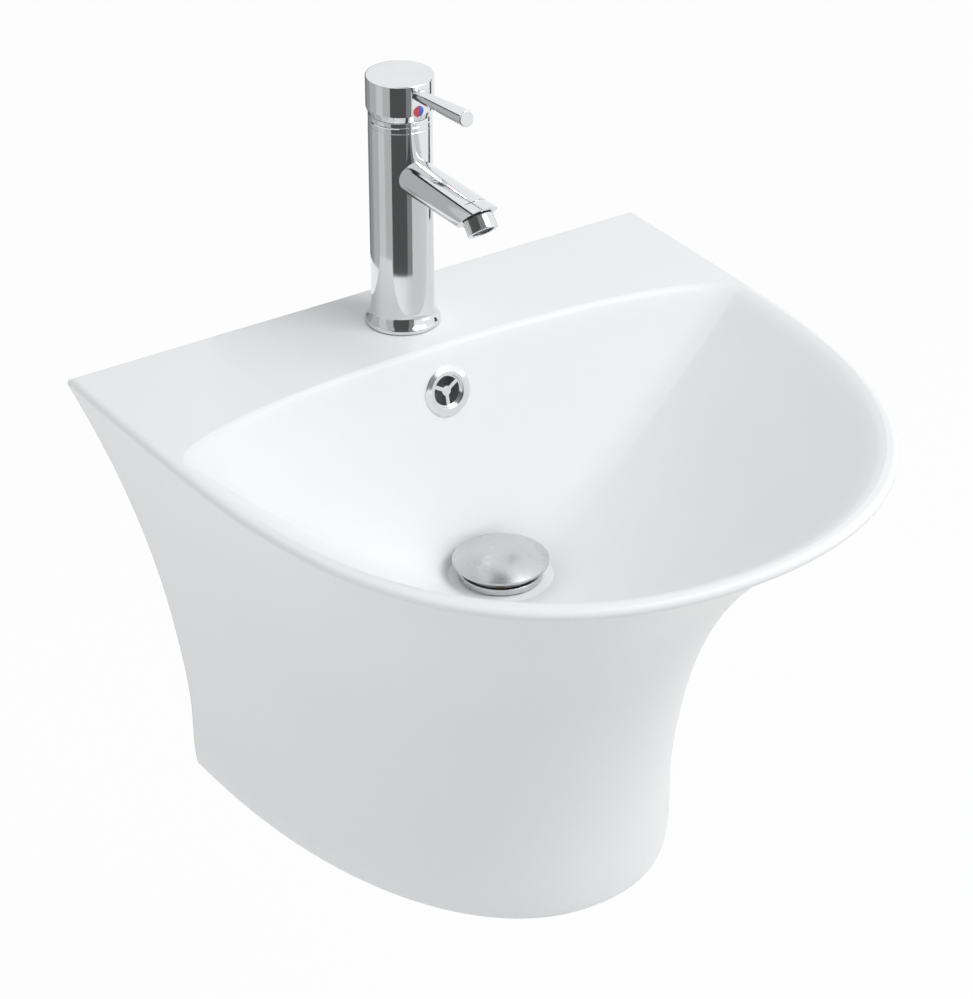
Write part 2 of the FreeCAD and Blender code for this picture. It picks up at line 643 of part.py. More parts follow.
def make_popup():
    shoulder = -s.spider_drop
    neck_bore = s.plunger_radius + s.running_gap
    outline = [
        (0, -s.sleeve_depth),
        (s.sleeve_radius, -s.sleeve_depth),
        (s.sleeve_radius, shoulder),
        (s.spider_hub - s.edge_round, shoulder),
        (s.spider_hub - s.edge_round, shoulder + s.sleeve_flange),
        (s.sleeve_radius, shoulder + s.sleeve_flange),
        (s.sleeve_radius, SLEEVE_TOP),
        (neck_bore, SLEEVE_TOP),
        (neck_bore, SLEEVE_TOP - s.sleeve_neck),
        (s.sleeve_bore, SLEEVE_TOP - s.sleeve_neck),
        (s.sleeve_bore, SPRING_LOW),
        (0, SPRING_LOW),
    ]
    sub_part(turned("popup_cartridge", outline, WASTE), "popup_cartridge")
    piston = s.sleeve_bore - s.loose_gap
    collar_low = CAP_EDGE - s.plunger_collar_height
    outline = [
        (0, PISTON_LOW),
        (piston, PISTON_LOW),
        (piston, PISTON_TOP),
        (s.plunger_radius, PISTON_TOP),
        (s.plunger_radius, collar_low),
        (s.plunger_collar, collar_low),
        (s.plunger_collar, CAP_EDGE),
        (s.plunger_radius, CAP_EDGE),
        (s.plunger_radius, CAP_EDGE + s.cap_socket - s.loose_gap),
        (0, CAP_EDGE + s.cap_socket - s.loose_gap),
    ]
    sub_part(turned("popup_plunger", outline, WASTE), "popup_plunger")
    make_spring()
    top = CAP_EDGE + s.cap_edge + s.cap_dome
    socket = s.plunger_radius + s.thread_gap
    outline = [
        (socket, CAP_EDGE),
        (s.cap_radius, CAP_EDGE),
        (s.cap_radius, CAP_EDGE + s.cap_edge),
        Dome(s.cap_radius * 0.7, CAP_EDGE + s.cap_edge + s.cap_dome * 0.526),
        (0, top),
        (0, CAP_EDGE + s.cap_socket),
        (socket, CAP_EDGE + s.cap_socket),
    ]
    sub_part(turned("waste_cap", outline, WASTE), "waste_cap")
    seal_low = CAP_EDGE - s.cap_seal_height
    inner = s.cap_seal_radius - s.cap_seal_width
    sub_part(ring("waste_cap_seal", inner, s.cap_seal_radius, seal_low, CAP_EDGE, WASTE), "waste_cap_seal")


def make_spring():
    """A wire coil under the plunger's piston, wound as one helix."""
    low = SPRING_LOW.value + s.spring_wire.value / 2 + s.fine_round.value
    high = PISTON_LOW.value - s.spring_wire.value / 2 - s.fine_round.value
    turns = int(s.spring_turns.value)
    radius = s.sleeve_bore.value - s.loose_gap.value * 2 - s.spring_wire.value / 2
    coil = Part.makeHelix((high - low) / turns, high - low, radius)
    coil.translate(Vector(0, 0, low))
    start = coil.Edges[0].valueAt(coil.Edges[0].FirstParameter)
    heading = coil.Edges[0].tangentAt(coil.Edges[0].FirstParameter)
    section = Part.Wire([Part.makeCircle(s.spring_wire.value / 2, start, heading)])
    wire = Part.Wire(coil.Edges).makePipeShell([section], True, True)
    spring = fixed_shape("spring", wire)
    sub_part(place(spring, WASTE), "popup_spring")


# Bottle trap: heights are measured from the waste tail's lower end

TAIL_END = moved(WASTE, z=-s.tail_length)
SOCKET_BORE = s.tail_radius + s.loose_gap
SOCKET_RADIUS = SOCKET_BORE + s.socket_wall
SOCKET_LOW = -s.dip_flange
SOCKET_TOP = s.socket_depth - s.dip_flange
CHAMBER = s.head_radius - s.trap_wall


def make_trap():
    outline = [
        (0, -s.head_depth),
        (s.head_radius, -s.head_depth),
        (s.head_radius, SOCKET_LOW - s.socket_floor),
        (SOCKET_RADIUS, SOCKET_LOW),
        (SOCKET_RADIUS, SOCKET_TOP),
        (0, SOCKET_TOP),
    ]
    head = turned("trap_head", outline, TAIL_END)
    spigot_at = moved(TAIL_END, z=-s.outlet_drop)
    spigot_radius = s.outlet_radius + s.trap_wall + s.loose_gap
    spigot = cylinder("trap_spigot", spigot_radius, s.outlet_reach, spigot_at, dim(-90))
    socket = cylinder("trap_socket", SOCKET_BORE, s.socket_depth, moved(TAIL_END, z=SOCKET_LOW))
    throat = cylinder("trap_throat", s.dip_radius + s.loose_gap, 2 * s.socket_floor,
                      moved(TAIL_END, z=SOCKET_LOW - 1.5 * s.socket_floor))
    chamber = cylinder("trap_chamber", CHAMBER, s.head_depth + SOCKET_LOW - s.socket_floor,
                       moved(TAIL_END, z=-s.head_depth))
    outlet = cylinder("trap_outlet", s.outlet_radius - s.outlet_wall, s.outlet_reach, spigot_at, dim(-90))
    pipe_start = s.outlet_reach - s.outlet_overlap
    outlet_socket = cylinder("trap_outlet_socket", s.outlet_radius + s.loose_gap, s.outlet_overlap,
                             moved(spigot_at, y=pipe_start), dim(-90))
    trap = cut("trap", fused("trap_solid", head, spigot), socket, throat, chamber, outlet, outlet_socket)
    sub_part(trap, "trap_body")

    outline = [
        (s.dip_radius - s.dip_wall, -s.dip_length),
        (s.dip_radius, -s.dip_length),
        (s.dip_radius, SOCKET_LOW),
        (s.tail_radius, SOCKET_LOW),
        (s.tail_radius, 0),
        (s.dip_radius - s.dip_wall, 0),
    ]
    sub_part(turned("trap_dip_tube", outline, TAIL_END), "trap_dip_tube")

    cup_bore = s.head_radius + s.loose_gap
    cup_radius = cup_bore + s.cup_wall
    ledge = -s.head_depth - s.cup_seal
    inner = cup_bore - s.cup_ledge
    outline = [
        (0, -s.cup_bottom),
        (cup_radius - s.cup_ledge, -s.cup_bottom, s.edge_round),
        (cup_radius - s.cup_ledge, ledge - s.cup_ledge),
        (cup_radius, ledge),
        (cup_radius, -s.cup_top, s.edge_round),
        (cup_bore, -s.cup_top),
        (cup_bore, ledge),
        (inner, ledge),
        (inner, -s.cup_bottom + s.cup_wall),
        (0, -s.cup_bottom + s.cup_wall),
    ]
    sub_part(turned("trap_cup", outline, TAIL_END), "trap_cup")
    sub_part(ring("trap_cup_seal", inner, s.head_radius, ledge, -s.head_depth, TAIL_END), "trap_cup_seal")

    seal_top = SOCKET_TOP + s.inlet_seal
    outline = [(SOCKET_BORE, SOCKET_TOP), (SOCKET_RADIUS, SOCKET_TOP), (SOCKET_RADIUS - 1, seal_top),
               (SOCKET_BORE, seal_top)]
    sub_part(turned("trap_inlet_seal", outline, TAIL_END), "trap_inlet_seal")
    nut_bore = SOCKET_RADIUS + s.loose_gap
    nut_radius = nut_bore + s.inlet_nut_wall
    sub_part(lipped_nut("trap_inlet_nut", nut_bore, nut_radius, SOCKET_BORE, SOCKET_TOP - s.inlet_nut_skirt,
                        seal_top, TAIL_END), "trap_inlet_nut")

    tube_length = s.waste_back - pipe_start
    tube_bore = s.outlet_radius - s.outlet_wall
    mark = tube_length - s.outlet_mark
    outline = [
        (tube_bore, 0),
        (s.outlet_radius, 0),
        (s.outlet_radius, mark - s.mark_width),
        (s.outlet_radius - s.mark_depth, mark - s.mark_width),
        (s.outlet_radius - s.mark_depth, mark),
        (s.outlet_radius, mark),
        (s.outlet_radius, tube_length),
        (tube_bore, tube_length),
    ]
    tube = turned("trap_outlet_pipe", outline, moved(spigot_at, y=pipe_start), dim(-90))
    sub_part(tube, "trap_outlet_pipe")
    spigot_end = moved(spigot_at, y=s.outlet_reach)
    pipe_clear = s.outlet_radius + s.loose_gap
    sub_part(ring("trap_outlet_seal", pipe_clear, spigot_radius, 0, s.outlet_seal, spigot_end, dim(-90)),
             "trap_outlet_seal")
    outlet_nut_bore = spigot_radius + s.loose_gap
    sub_part(lipped_nut("trap_outlet_nut", outlet_nut_bore, outlet_nut_bore + s.inlet_nut_wall, pipe_clear,
                        -s.outlet_nut_skirt, s.outlet_seal, spigot_end, dim(-90)), "trap_outlet_nut")


def lipped_nut(label, bore, radius, lip_bore, low, shoulder, at, tilt=None):
    """A round union nut whose inward lip presses on a seal at the shoulder."""
    top = shoulder + s.nut_lip
    outline = [(bore, low), (radius, low, s.edge_round), (radius, top, s.edge_round), (lip_bore, top),
               (lip_bore, shoulder), (bore, shoulder)]
    return turned(label, outline, at, tilt)


# Tap: heights are measured from the deck

SEAT = s.tap_height - s.seat_drop
CAP_LOW = s.tap_height + s.collar_height + s.cap_gap
PIVOT = CAP_LOW
NUT_LOW = s.tap_height - s.nut_seat


def port_spots():
    """The two inlet ports and the mixed-water port, from the tap's axis."""
    return [(-s.inlet_spread, s.inlet_offset), (s.inlet_spread, s.inlet_offset), (dim(0), -s.mixed_offset)]


def ports(label, radius, low, height):
    """The three ports as rods through a level of the tap."""
    return [cylinder(label, radius, height, moved(TAP, x, y, low)) for x, y in port_spots()]


def make_tap_body():
    sub_part(ring("tap_base_seal", s.tap_hole / 2 + s.edge_round, s.tap_base_radius - 2, 0, s.base_seal, TAP),
             "tap_base_seal")
    rim = s.tap_base_radius - s.tap_radius
    outline = [
        (0, s.base_seal),
        (s.tap_base_radius, s.base_seal),
        (s.tap_base_radius, s.tap_base_edge, s.edge_round),
        Via(s.tap_radius + rim * 0.3, s.tap_base_edge + (s.tap_flare - s.tap_base_edge) * 0.36),
        (s.tap_radius, s.tap_flare),
        (s.tap_radius, s.tap_height, s.fine_round),
        (s.nut_thread, s.tap_height),
        (s.nut_thread, NUT_LOW),
        (s.seat_radius_tap, NUT_LOW),
        (s.seat_radius_tap, SEAT),
        (0, SEAT),
    ]
    blank = turned("tap_blank", outline, TAP)
    tools = []
    for side in (-1, 1):
        spot = moved(TAP, side * s.inlet_spread, s.inlet_offset, 0)
        tools.append(cylinder("inlet_drilling", s.inlet_radius, SEAT + 1, spot))
        tools.append(cylinder("inlet_thread_hole", s.inlet_thread, s.inlet_thread_depth + s.base_seal, spot))
    low = s.spout_height
    tools.append(cylinder("mixed_drilling", s.mixed_radius, SEAT - low + 1,
                          moved(TAP, 0, -s.mixed_offset, low)))
    tools.append(cylinder("spout_drilling", s.spout_bore, s.tap_radius,
                          moved(TAP, 0, -s.mixed_offset + s.mixed_radius * 1.4, s.spout_height), dim(90)))
    tools.append(cylinder("stud_hole", s.stud_radius + s.thread_gap, s.stud_depth + s.base_seal,
                          moved(TAP, 0, s.stud_offset, 0)))
    sub_part(cut("tap", blank, *tools), "tap_body")


def make_spout():
    root = moved(TAP, z=s.spout_height)
    tip = moved(root, y=-s.spout_reach)
    facing = dim(180) - s.spout_mitre
    spare = 3 * s.spout_radius
    tube = cylinder("spout_tube", s.spout_radius, s.spout_reach + spare, root, dim(90))
    saddle = cylinder("spout_saddle", s.tap_radius + s.running_gap, 4 * s.spout_radius,
                      moved(root, z=-2 * s.spout_radius))
    bore = cylinder("spout_bore_cut", s.spout_bore, s.spout_reach, root, dim(90))
    mitre = cylinder("spout_mitre_cut", spare, 2 * spare, tip, facing)
    # the aerator's socket runs back into the spout, square to the mitred face
    thread = cylinder("aerator_socket", s.aerator_thread + s.thread_gap, s.aerator_depth, tip, -s.spout_mitre)
    sub_part(cut("spout", tube, saddle, bore, mitre, thread), "tap_spout")
    shoulder = s.aerator_washer
    bore_radius = s.aerator_thread - s.aerator_wall
    outline = [
        (bore_radius, -s.aerator_depth + s.loose_gap),
        (s.aerator_thread, -s.aerator_depth + s.loose_gap),
        (s.aerator_thread, shoulder),
        (s.aerator_radius, shoulder, s.fine_round),
        (s.aerator_radius, shoulder + s.aerator_height, s.edge_round),
        (bore_radius, shoulder + s.aerator_height, s.fine_round),
    ]
    sub_part(turned("aerator_housing", outline, tip, facing), "aerator_housing")
    sub_part(ring("aerator_washer", s.aerator_thread + s.thread_gap, s.aerator_radius - s.fine_round,
                  0, shoulder, tip, facing), "aerator_washer")
    top = shoulder + s.aerator_height - s.screen_inset
    outline = [(0, top - s.screen_height), (bore_radius - s.thread_gap, top - s.screen_height),
               (bore_radius - s.thread_gap, top), (0, top)]
    sub_part(turned("aerator_screen", outline, tip, facing), "aerator_screen")


HOUSING_LOW = SEAT + s.port_seal
CHAMBER_LOW = HOUSING_LOW + s.housing_base
CHAMBER_TOP = NUT_LOW - s.housing_top
NECK_TOP = PIVOT + s.neck_rise
DISC_FACE = CHAMBER_LOW + s.fixed_disc
BALL = DISC_FACE + s.socket_floor_disc + s.ball_lift


def make_cartridge():
    seals = [ring("port_seal_ring", s.port_radius, s.port_radius + s.port_seal_width, SEAT, HOUSING_LOW,
                  moved(TAP, x, y, 0))
             for x, y in port_spots()]
    sub_part(grouped("seal_set", *seals), "cartridge_seals")
    outside = s.seat_radius_tap - s.loose_gap
    neck_bore = s.carrier_neck + s.running_gap
    outline = [
        (0, HOUSING_LOW),
        (outside, HOUSING_LOW),
        (outside, NUT_LOW),
        (s.housing_neck, NUT_LOW),
        (s.housing_neck, NECK_TOP),
        (neck_bore, NECK_TOP),
        (neck_bore, CHAMBER_TOP),
        (s.chamber_radius, CHAMBER_TOP),
        (s.chamber_radius, CHAMBER_LOW),
        (0, CHAMBER_LOW),
    ]
    shell = turned("housing_shell", outline, TAP)
    holes = ports("housing_port", s.port_radius, HOUSING_LOW, s.housing_base)
    sub_part(cut("housing", shell, *holes), "cartridge_housing")
    disc = turned("fixed_disc_blank", [(0, CHAMBER_LOW), (s.chamber_radius - s.thread_gap, CHAMBER_LOW),
                                       (s.chamber_radius - s.thread_gap, DISC_FACE), (0, DISC_FACE)], TAP)
    holes = ports("fixed_disc_port", s.port_radius, CHAMBER_LOW, s.fixed_disc)
    sub_part(cut("lower_disc", disc, *holes), "cartridge_fixed_disc")
    face = DISC_FACE + s.running_gap
    top = face + s.moving_disc
    floor = DISC_FACE + s.socket_floor_disc
    outline = [(0, face), (s.moving_radius, face), (s.moving_radius, top), (s.disc_socket, top),
               (s.disc_socket, floor), (0, floor)]
    sub_part(turned("upper_disc", outline, TAP), "cartridge_moving_disc")

    carrier_top = NECK_TOP - s.loose_gap
    flange_top = CHAMBER_TOP - s.loose_gap
    flange_low = flange_top - s.carrier_flange
    flange = s.chamber_radius - s.loose_gap
    outline = [(0, flange_low), (flange, flange_low), (flange, flange_top), (s.carrier_neck, flange_top),
               (s.carrier_neck, carrier_top), (0, carrier_top)]
    blank = turned("carrier_blank", outline, TAP)
    slot_length = s.slot_front + s.slot_rear
    slot = box("carrier_slot", (2 * s.slot_half, slot_length, 2 * s.collar_height + s.seat_drop),
               moved(TAP, y=(s.slot_rear - s.slot_front) / 2, z=flange_low - 1))
    cross = cross_rod("carrier_cross_hole", s.pivot_radius + s.thread_gap, 2 * s.carrier_neck)
    sub_part(cut("carrier", blank, slot, cross), "cartridge_carrier")
    sub_part(cross_rod("pivot_pin", s.pivot_radius, 2 * s.pivot_half), "cartridge_pivot_pin")
    nut_bore = s.housing_neck + s.loose_gap
    outline = [(nut_bore, NUT_LOW), (s.nut_thread - s.thread_gap, NUT_LOW),
               (s.nut_thread - s.thread_gap, s.tap_height + s.nut_rise),
               (nut_bore, s.tap_height + s.nut_rise)]
    sub_part(turned("cartridge_nut", outline, TAP), "cartridge_nut")


def cross_rod(label, radius, length):
    """A rod along X through the lever's pivot."""
    rod = doc.addObject("Part::Cylinder", label)
    rod.setExpression("Radius", radius.text)
    rod.setExpression("Height", length.text)
    rod.Placement.Rotation = Rotation(Vector(0, 1, 0), 90)
    for axis, distance in zip("xyz", moved(TAP, -length / 2, 0, PIVOT)):
        rod.setExpression(f"Placement.Base.{axis}", distance.text)
    return rod


def make_collar():
    low, high = s.tap_height, s.tap_height + s.collar_height
    radius = s.tap_radius - s.fine_round / 4
    inner = radius - s.collar_wall
    middle = low + s.collar_height * 0.52
    groove = s.collar_groove
    outline = [
        (inner, low),
        (radius, low, s.fine_round),
        (radius, middle - groove),
        (radius - groove, middle),
        (radius, middle + groove),
        (radius, high, s.fine_round),
        (s.housing_neck + s.loose_gap, high),
        (s.housing_neck + s.loose_gap, high - s.collar_top),
        (inner, high - s.collar_top),
    ]
    sub_part(turned("tap_collar", outline, TAP), "tap_collar")


def make_handle():
    top = CAP_LOW + s.handle_height
    outline = [
        (0, CAP_LOW),
        (s.handle_radius - s.handle_bevel_in, CAP_LOW),
        (s.handle_radius, CAP_LOW + s.handle_bevel),
        (s.handle_radius, top, s.edge_round),
        (0, top),
    ]
    blank = turned("handle_blank", outline, TAP)
    hub_low = CAP_LOW + s.handle_hub_rise
    ceiling = CAP_LOW + s.handle_cavity_height
    outline = [(0, CAP_LOW - 1), (s.handle_cavity, CAP_LOW - 1), (s.handle_cavity, ceiling),
               (s.handle_hub, ceiling), (s.handle_hub, hub_low), (0, hub_low)]
    pocket = turned("handle_pocket", outline, TAP)
    grub_boss = box("grub_boss", (2 * s.grub_boss_half, s.handle_cavity + 1, ceiling - hub_low + 1),
                    moved(TAP, y=-s.handle_cavity / 2 - 0.5, z=hub_low))
    cavity = cut("handle_cavity_cut", pocket, grub_boss)
    stem_hole = cylinder("stem_hole", s.stem_radius + s.thread_gap, s.stem_top + s.loose_gap,
                         moved(TAP, z=CAP_LOW))
    rear = s.handle_radius + 2
    relief_height = rear * tangent(s.lever_lift + s.lift_spare)
    relief = padded("lift_relief", "YZ_Plane", [(0, -1), (rear, -1), (rear, relief_height), (0, 0)],
                    3 * s.handle_radius, moved(TAP, z=CAP_LOW), True)
    lever_at, lever_tilt = moved(TAP, z=CAP_LOW + s.lever_height), dim(90) - s.lever_rise
    shoulder = s.handle_radius - s.lever_recess
    stub = shoulder - s.lever_stub_depth
    face_radius = s.lever_root + s.edge_round
    hole_radius = s.lever_stub + s.thread_gap
    outline = [(0, stub - s.loose_gap), (hole_radius, stub - s.loose_gap), (hole_radius, shoulder),
               (face_radius, shoulder), (face_radius, s.lever_length), (0, s.lever_length)]
    lever_hole = turned("lever_hole", outline, lever_at, lever_tilt)
    dot_at = moved(TAP, z=CAP_LOW + s.indicator_height)
    dot_low = s.handle_radius - s.indicator_depth
    dot_hole = turned("indicator_hole", [(0, dot_low), (s.indicator_radius + s.thread_gap, dot_low),
                                         (s.indicator_radius + s.thread_gap, 2 * s.handle_radius),
                                         (0, 2 * s.handle_radius)], dot_at, dim(90))
    grub_hole = cylinder("grub_hole", s.grub_radius + s.thread_gap, s.handle_radius, dot_at, dim(90))
    handle = cut("handle", blank, cavity, stem_hole, relief, lever_hole, dot_hole, grub_hole)
    sub_part(handle, "handle_cap")

    outline = [
        (0, stub),
        (s.lever_stub, stub),
        (s.lever_stub, shoulder + s.running_gap),
        (s.lever_root, shoulder + s.running_gap),
        (s.lever_tip, s.lever_length, s.edge_round),
        (0, s.lever_length),
    ]
    sub_part(turned("lever", outline, lever_at, lever_tilt), "lever_pin")
    outline = [(0, dot_low), (s.indicator_radius, dot_low),
               (s.indicator_radius, s.handle_radius - s.running_gap),
               Dome(s.indicator_radius / 2, s.handle_radius + s.running_gap),
               (0, s.handle_radius + 2 * s.running_gap)]
    sub_part(turned("indicator", outline, dot_at, dim(90)), "temperature_indicator")
    grub_start = s.stem_radius + s.running_gap
    sub_part(cylinder("grub", s.grub_radius, s.grub_length, moved(dot_at, y=-grub_start), dim(90)),
             "handle_grub_screw")

    waist_top = PIVOT - s.stem_hub
    outline = [
        (0, BALL - s.ball_radius),
        Dome(s.ball_radius, BALL),
        (s.stem_waist, BALL + s.ball_radius * 0.68),
        (s.stem_waist, waist_top),
        (s.stem_radius, waist_top),
        (s.stem_radius, CAP_LOW + s.stem_top),
        (0, CAP_LOW + s.stem_top),
    ]
    rod = turned("stem_rod", outline, TAP)
    cross = cross_rod("stem_cross_hole", s.pivot_radius + s.running_gap, 4 * s.stem_radius)
    sub_part(cut("stem", rod, cross), "lever_stem")


def horseshoe(label, low):
    """A C-shaped plate under the deck, open to the front, with a hole for the stud."""
    plate = cylinder(label + "_disc", s.horseshoe_radius, s.horseshoe_height, moved(TAP, z=low))
    length = 2 * s.horseshoe_radius
    slot = box(label + "_slot", (2 * s.horseshoe_slot, length, s.horseshoe_height),
               moved(TAP, y=s.horseshoe_slot_end - length / 2, z=low))
    hole = cylinder(label + "_hole", s.stud_radius + s.loose_gap, s.horseshoe_height,
                    moved(TAP, y=s.stud_offset, z=low))
    return cut(label, plate, slot, hole)


def make_tap_fixing():
    low = -s.deck_thickness - s.horseshoe_height
    sub_part(horseshoe("rubber_shoe", low), "tap_horseshoe_gasket")
    low = low - s.horseshoe_height
    sub_part(horseshoe("steel_shoe", low), "tap_horseshoe_washer")
    low = low - s.stud_nut_height
    stud_at = moved(TAP, y=s.stud_offset)
    sub_part(hex_nut("stud_nut", s.stud_nut_radius, s.stud_radius + s.thread_gap, s.stud_nut_height,
                     moved(stud_at, z=low)), "tap_stud_nut")
    stud = cylinder("stud", s.stud_radius, s.stud_drop + s.stud_depth, moved(stud_at, z=-s.stud_drop))
    sub_part(stud, "tap_stud")


make_basin()
make_overflow()
make_waste_fixed()
make_popup()
make_trap()
make_tap_body()
make_spout()
make_cartridge()
make_collar()
make_handle()
make_tap_fixing()
doc.recompute()

for item in doc.Objects:
    if "Invalid" in item.State or "Error" in item.State:
        raise RuntimeError(f"{item.Label} failed to build: {item.State}")
for piece in sub_parts:
    if piece.Shape.isNull() or not piece.Shape.isValid() or not piece.Shape.Solids:
        raise RuntimeError(f"{piece.Label} is not a valid solid")
os.makedirs("parts", exist_ok=True)
for piece in sub_parts:
    piece.Shape.exportStep(f"parts/{piece.Label}.step")
    print(piece.Label, len(piece.Shape.Solids), round(piece.Shape.Volume / 1000, 2), "cm3")
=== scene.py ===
"""Looks of the wall-hung basin: white glaze, chrome tap and waste, hidden plumbing, studio and camera."""
import math

import bpy
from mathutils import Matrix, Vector


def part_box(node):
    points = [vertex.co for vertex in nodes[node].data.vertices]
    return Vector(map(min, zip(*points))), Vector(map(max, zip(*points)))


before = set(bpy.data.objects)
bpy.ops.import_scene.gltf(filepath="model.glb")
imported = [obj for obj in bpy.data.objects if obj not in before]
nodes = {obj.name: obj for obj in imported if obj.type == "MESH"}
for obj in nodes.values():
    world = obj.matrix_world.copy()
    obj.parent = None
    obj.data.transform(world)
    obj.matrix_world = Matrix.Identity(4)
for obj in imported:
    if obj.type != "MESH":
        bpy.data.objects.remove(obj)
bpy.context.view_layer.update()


def middle(node):
    """The middle of a CAD piece's box."""
    low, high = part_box(node)
    return (low + high) / 2


# Where things are, in metres, in the part's own frame
FOOT_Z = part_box("basin_body")[0].z
WALL_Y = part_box("basin_body")[1].y
DECK_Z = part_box("basin_body")[1].z
TAP_Y = middle("tap_body").y
RIM_ABOVE_FLOOR = 0.85
FLOOR_Z = DECK_Z - RIM_ABOVE_FLOOR
FLOOR_REACH = 7

# The bare biscuit reaches this far round the glaze's edge, and the edge wanders by this much
BISCUIT_REACH = 0.0004
BISCUIT_WANDER = 0.0012

# The overflow hole runs back and a little down into a flat duct behind the bowl; the glaze inside that duct
# is painted dark grey as painted shade
OVERFLOW = middle("overflow_grille")
OVERFLOW_TILT = math.radians(14.5)
DUCT_FRONT, DUCT_BACK = 0.004, 0.02
DUCT_HALF_WIDTH = 0.0175
DUCT_TOP = DECK_Z - 0.01

# Small repeating details
STUD_PITCH = 0.00125
SCREEN_PITCH = 0.0013
SPOUT_SLANT = math.radians(42)

# Softboxes: place, width and height in metres, and watts
SOFTBOXES = {
    "left_light": ((-2.4, -0.1, -0.1), 1.4, 1.2, 8),
    "right_light": ((1.9, -1.7, -0.1), 1.4, 1.2, 7),
    "top_light": ((0.9, -1.6, 2.3), 1.6, 1.6, 46.5),
}
LAMPS_AIM_AT = (0, -0.2, 0)
WORLD_STRENGTH = 0.56
FLOOR_WHITENESS = 0.96

# Flags round the tap: grey level, start and stop in degrees from +X, lower and upper edge
FLAG_RADIUS = 0.13
FLAG_STEP = 6
FLAG_LOW, FLAG_HIGH = DECK_Z - 0.012, DECK_Z + 0.2
FLAGS = {
    "flag_0": (0.22, 58, 105, FLAG_LOW, FLAG_HIGH),
    "flag_1": (0.35, 105, 127, FLAG_LOW, FLAG_HIGH),
    "flag_2": (0.5, 127, 158, FLAG_LOW, FLAG_HIGH),
    "flag_3": (0.66, 158, 183, FLAG_LOW, FLAG_HIGH),
    "flag_4": (0.52, 183, 207, FLAG_LOW, FLAG_HIGH),
    "flag_5": (0.09, 207, 256, FLAG_LOW, FLAG_HIGH),
    "flag_6": (0.25, 256, 272, FLAG_LOW, FLAG_HIGH),
    "flag_right": (0.08, 347, 357, FLAG_LOW + 0.035, FLAG_HIGH),
    "flag_above": (0.03, 60, 205, FLAG_HIGH, FLAG_HIGH + 0.025),
}

# The flat black flag over the bowl
OVERHEAD_TONE = 0.05
OVERHEAD_HALF = 0.11
OVERHEAD_MIDDLE = (0, -0.2, DECK_Z + 0.5)

# The camera that fits the photograph
CAMERA_AT = (-1.0808, -1.7783, 1.1655)
LOOKS_AT = (-0.0095, -0.169, 0.0175)
LENS_MM = 121.13
SENSOR_MM = 36


class Value:
    """A shader socket that takes Python's arithmetic."""

    def __init__(self, surface, socket):
        self.surface = surface
        self.socket = socket

    def _math(self, operation, first, second):
        return self.surface.node("ShaderNodeMath", {"operation": operation}, {0: first, 1: second})

    def __add__(self, other):
        return self._math("ADD", self, other)

    def __sub__(self, other):
        return self._math("SUBTRACT", self, other)

    def __rsub__(self, other):
        return self._math("SUBTRACT", other, self)

    def __mul__(self, other):
        return self._math("MULTIPLY", self, other)

    def __gt__(self, other):
        return self._math("GREATER_THAN", self, other)

    def __lt__(self, other):
        return self._math("LESS_THAN", self, other)

    __radd__ = __add__
    __rmul__ = __mul__


class Surface:
    """A node material, or the world, under construction."""

    def __init__(self, owner):
        owner.use_nodes = True
        self.owner = owner
        self.tree = owner.node_tree
        self.tree.nodes.clear()

    def node(self, kind, settings=None, inputs=None, output=0):
        """Add a node: its settings first, then the values or links of its sockets; gives one output."""
        made = self.tree.nodes.new(kind)
        for name, setting in (settings or {}).items():
            setattr(made, name, setting)
        for name, value in (inputs or {}).items():
            if isinstance(value, Value):
                self.tree.links.new(value.socket, made.inputs[name])
            else:
                made.inputs[name].default_value = value
        return Value(self, made.outputs[output]) if len(made.outputs) else None

    def place(self):
        """The point on the piece, in the part's own frame."""
        return self.node("ShaderNodeTexCoord", output="Object")

    def axes(self):
        """The point's x, y and z."""
        split = self.node("ShaderNodeSeparateXYZ", inputs={0: self.place()}).socket.node
        return [Value(self, out) for out in split.outputs]

    def light_path(self, *names):
        """What kind of ray arrives, one value for each name."""
        path = self.node("ShaderNodeLightPath").socket.node.outputs
        return [Value(self, path[name]) for name in names]

    def noise(self, scale, detail=3.0, stretch=None):
        at = self.place()
        if stretch:
            at = self.node("ShaderNodeVectorMath", {"operation": "MULTIPLY"}, {0: at, 1: stretch})
        return self.node("ShaderNodeTexNoise", inputs={"Vector": at, "Scale": scale, "Detail": detail})

    def sine(self, angle):
        return self.node("ShaderNodeMath", {"operation": "SINE"}, {0: angle})

    def mixed(self, share, first, second):
        """One colour turning into another."""
        return self.node("ShaderNodeMix", {"data_type": "RGBA"}, {0: share, 6: first, 7: second}, output=2)

    def bumped(self, height, distance, strength=1.0):
        inputs = {"Height": height, "Distance": distance, "Strength": strength}
        return self.node("ShaderNodeBump", inputs=inputs)

    def finish(self, **sockets):
        """Close the material with a Principled shader; names use _ for a space."""
        inputs = {name.replace("_", " "): value for name, value in sockets.items()}
        return self.close(self.node("ShaderNodeBsdfPrincipled", inputs=inputs))

    def close(self, shader):
        self.node("ShaderNodeOutputMaterial", inputs={"Surface": shader})
        return self.owner


def new_surface(name):
    return Surface(bpy.data.materials.new(name))


def grey(level, warm=0.0):
    """A grey, less blue where it is warm and bluer where warm is below zero."""
    return (level, level * (1 - warm * 0.5), level * (1 - warm), 1)


